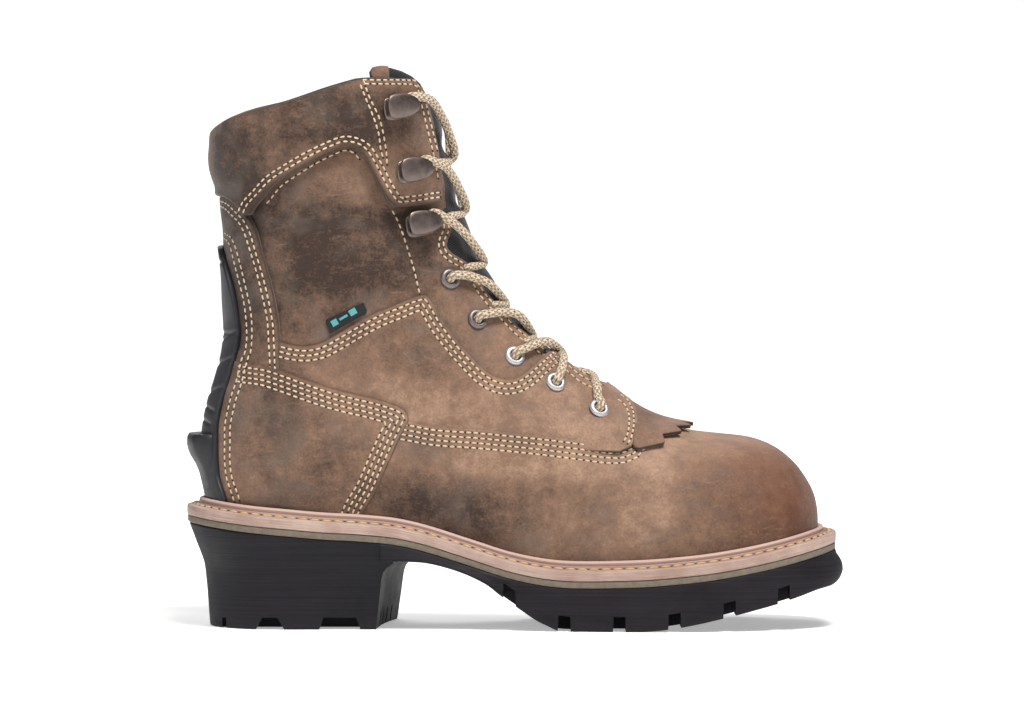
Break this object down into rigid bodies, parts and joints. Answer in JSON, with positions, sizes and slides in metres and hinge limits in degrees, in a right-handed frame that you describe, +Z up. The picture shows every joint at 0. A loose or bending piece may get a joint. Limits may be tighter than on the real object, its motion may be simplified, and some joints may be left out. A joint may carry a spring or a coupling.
{
  "type": "logger boot",
  "caption": "Right laced leather work boot with a storm welt, a lugged rubber sole, a high heel, a fringed kiltie and a rubber guard up the back.",
  "frame": {"origin": "middle of the bounding box, on the floor that the sole stands on", "axes": "+X to the toe, +Y to the inner (medial) side of the foot, +Z up"},
  "size_m": [0.3083, 0.1184, 0.2637],
  "materials": {
    "leather": "oiled nubuck, soft and matte",
    "welt": "smooth cut edge",
    "midsole": "matte olive rubber",
    "outsole": "matte moulded rubber",
    "guard_rubber": "satin moulded rubber",
    "insole": "felted cloth",
    "tongue_cloth": "padded woven cloth",
    "eyelet": "satin nickel",
    "hook": "dark gunmetal",
    "lace": "braided cord with dark flecks",
    "tag": "woven tag"
  },
  "bodies": {
    "root": {"welt": "welt", "midsole": "midsole", "outsole": "outsole", "insole": "insole", "upper": "leather", "quarter_lateral": "leather", "quarter_medial": "leather", "counter": "leather", "back_strap": "leather", "collar_band": "leather", "heel_guard": "guard_rubber", "tongue": "tongue_cloth", "kiltie": "leather", "side_tag": "tag", "eyelet_lateral_1": "eyelet", "eyelet_lateral_2": "eyelet", "eyelet_lateral_3": "eyelet", "eyelet_lateral_4": "eyelet", "eyelet_lateral_5": "eyelet", "eyelet_medial_1": "eyelet", "eyelet_medial_2": "eyelet", "eyelet_medial_3": "eyelet", "eyelet_medial_4": "eyelet", "eyelet_medial_5": "eyelet", "hook_lateral_1": "hook", "hook_lateral_2": "hook", "hook_lateral_3": "hook", "hook_medial_1": "hook", "hook_medial_2": "hook", "hook_medial_3": "hook", "lace_crossing_1": "lace", "lace_crossing_2": "lace", "lace_crossing_3": "lace", "lace_crossing_4": "lace", "lace_crossing_5": "lace", "lace_crossing_6": "lace", "lace_crossing_7": "lace"}
  },
  "joints": []
}
